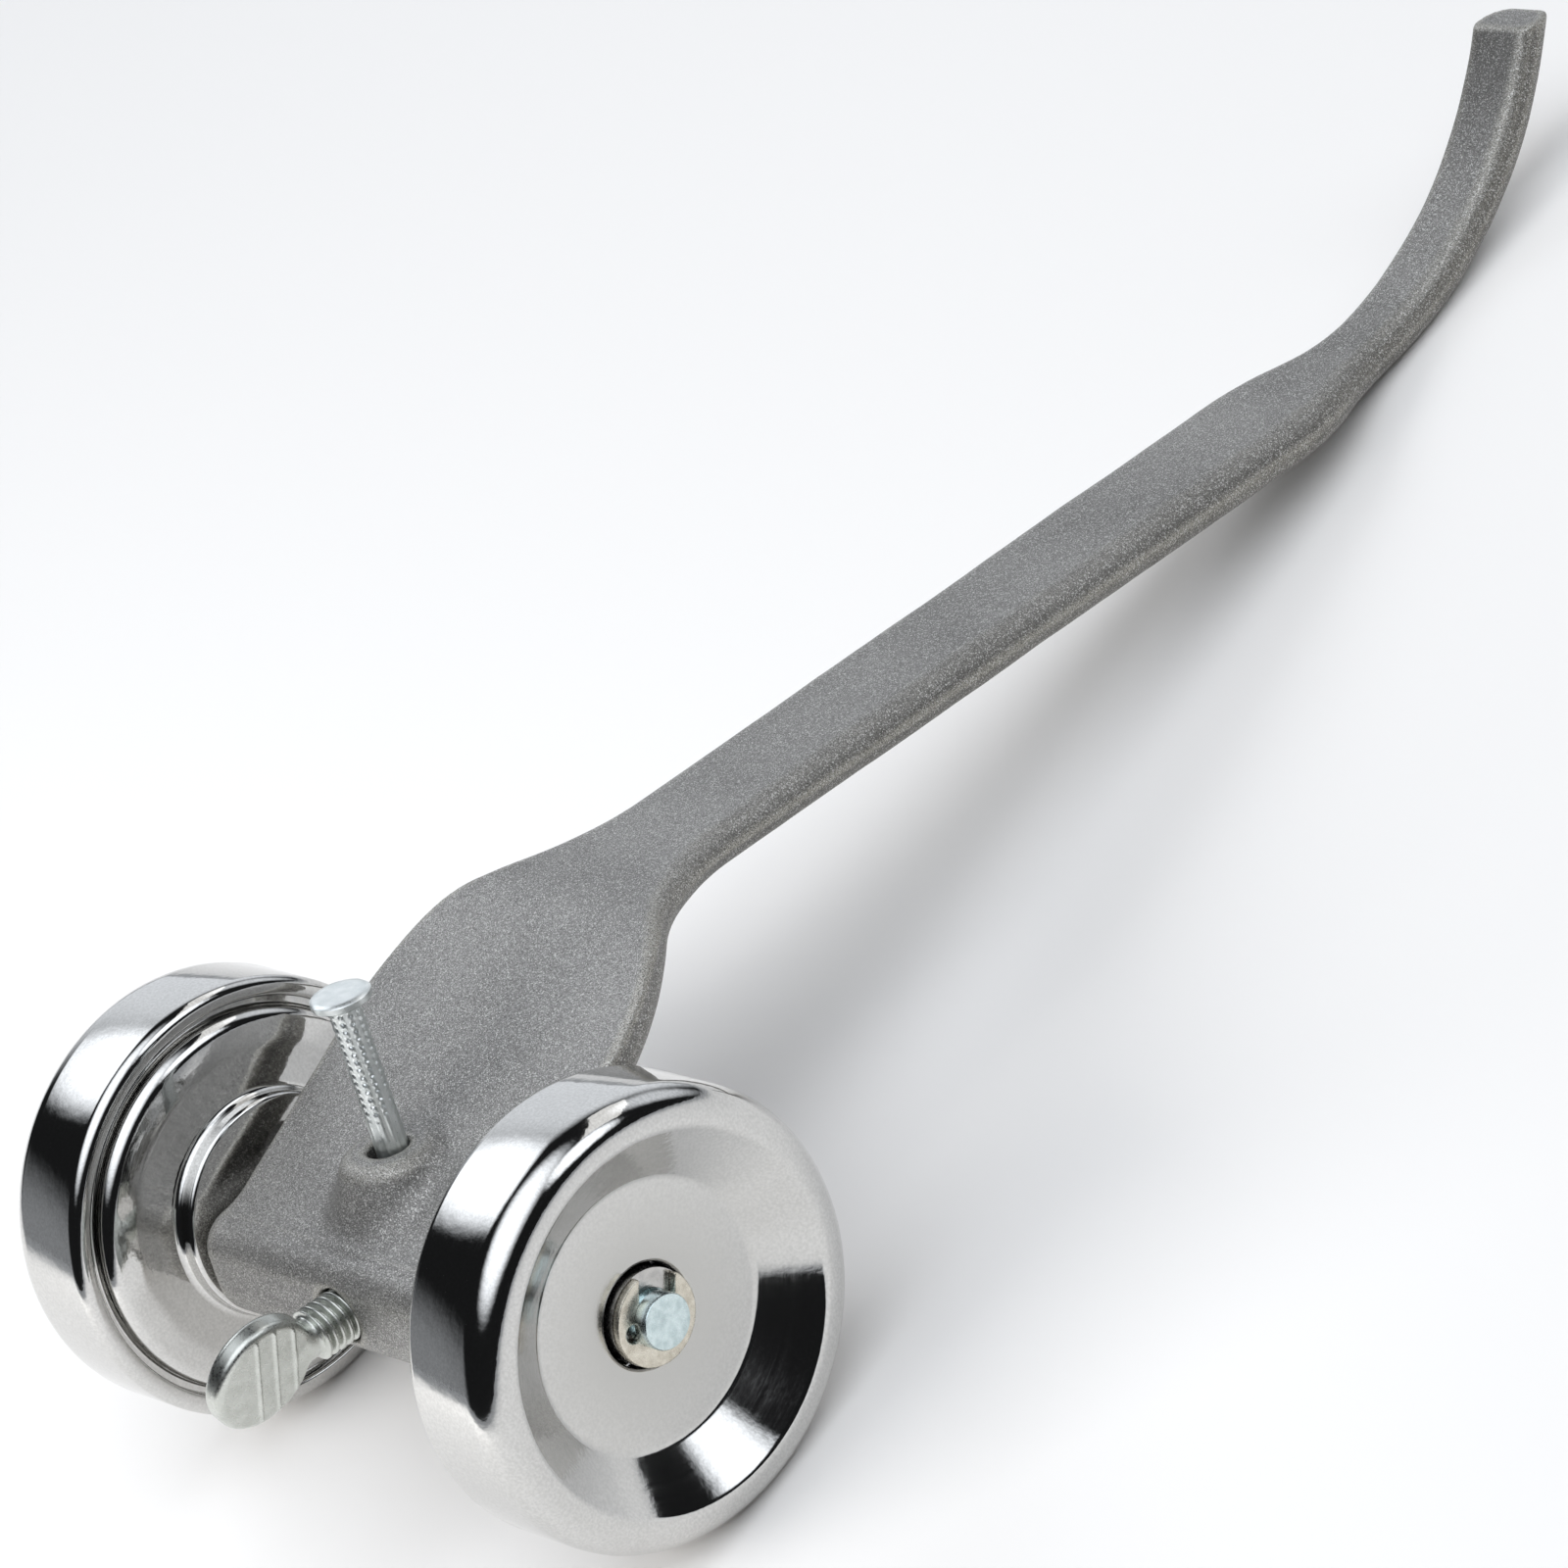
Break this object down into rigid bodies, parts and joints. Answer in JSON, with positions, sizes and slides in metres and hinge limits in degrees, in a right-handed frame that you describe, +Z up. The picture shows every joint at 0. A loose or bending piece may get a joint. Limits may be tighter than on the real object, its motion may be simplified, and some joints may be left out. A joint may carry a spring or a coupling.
{
  "type": "mortar raker",
  "caption": "Wheeled mortar raker: cast handle on two pressed-steel ball-bearing wheels, with a masonry nail clamped by a thumb screw.",
  "frame": {"origin": "on the floor, straight below the middle of the axle line, with the tool lying at rest on both wheels and the bend of its handle", "axes": "+X along the axle to the right-hand wheel, +Y back along the handle to its tip, +Z up from the floor"},
  "size_m": [0.0836, 0.236, 0.0542],
  "materials": {
    "casting": "bead-blasted bare casting with a fine sparkling grain",
    "wheel_chrome": "bright plated pressed steel",
    "race_steel": "bright hardened steel",
    "ball_steel": "polished ball steel",
    "zinc_pin": "pale blue zinc plate",
    "zinc_clip": "yellowish zinc plate",
    "nail_steel": "bright galvanised steel",
    "screw_zinc": "bright zinc plate"
  },
  "bodies": {
    "frame": {"handle_casting": "casting", "left_axle_pin": "zinc_pin", "left_retaining_clip": "zinc_clip", "left_inner_race": "race_steel", "right_axle_pin": "zinc_pin", "right_retaining_clip": "zinc_clip", "right_inner_race": "race_steel"},
    "left_wheel": {"left_outer_race": "race_steel", "left_wheel_cover": "wheel_chrome", "left_wheel_shell": "wheel_chrome"},
    "left_balls": {"left_bearing_balls": "ball_steel"},
    "right_wheel": {"right_outer_race": "race_steel", "right_wheel_cover": "wheel_chrome", "right_wheel_shell": "wheel_chrome"},
    "right_balls": {"right_bearing_balls": "ball_steel"},
    "nail": {"depth_nail": "nail_steel"},
    "screw_point": {"thumb_screw_point": "screw_zinc"},
    "screw": {"thumb_screw": "screw_zinc"}
  },
  "joints": [
    {"name": "left_wheel_spin", "type": "hinge", "parent": "frame", "child": "left_wheel", "pos_m": [0, 0, 0.0243], "axis": [1, 0, 0], "continuous": true},
    {"name": "left_balls_roll", "type": "hinge", "parent": "frame", "child": "left_balls", "pos_m": [0, 0, 0.0243], "axis": [1, 0, 0], "continuous": true},
    {"name": "right_wheel_spin", "type": "hinge", "parent": "frame", "child": "right_wheel", "pos_m": [0, 0, 0.0243], "axis": [1, 0, 0], "continuous": true},
    {"name": "right_balls_roll", "type": "hinge", "parent": "frame", "child": "right_balls", "pos_m": [0, 0, 0.0243], "axis": [1, 0, 0], "continuous": true},
    {"name": "nail_depth", "type": "slide", "parent": "frame", "child": "nail", "axis": [0, -0.3082, -0.9513], "range_m": [-0.008, 0.0165]},
    {"name": "screw_travel", "type": "slide", "parent": "frame", "child": "screw_point", "axis": [0, -0.9513, 0.3082], "range_m": [0, 0.003]},
    {"name": "screw_turn", "type": "hinge", "parent": "screw_point", "child": "screw", "pos_m": [0, -0.01946, 0.02913], "axis": [0, -0.9513, 0.3082], "range_deg": [0, 1081]}
  ],
  "couplings": [
    {"joint": "left_balls_roll", "follows": "left_wheel_spin", "ratio": 0.67857},
    {"joint": "right_balls_roll", "follows": "right_wheel_spin", "ratio": 0.67857},
    {"joint": "screw_turn", "follows": "screw_travel", "rad_per_m": 6283.2}
  ]
}
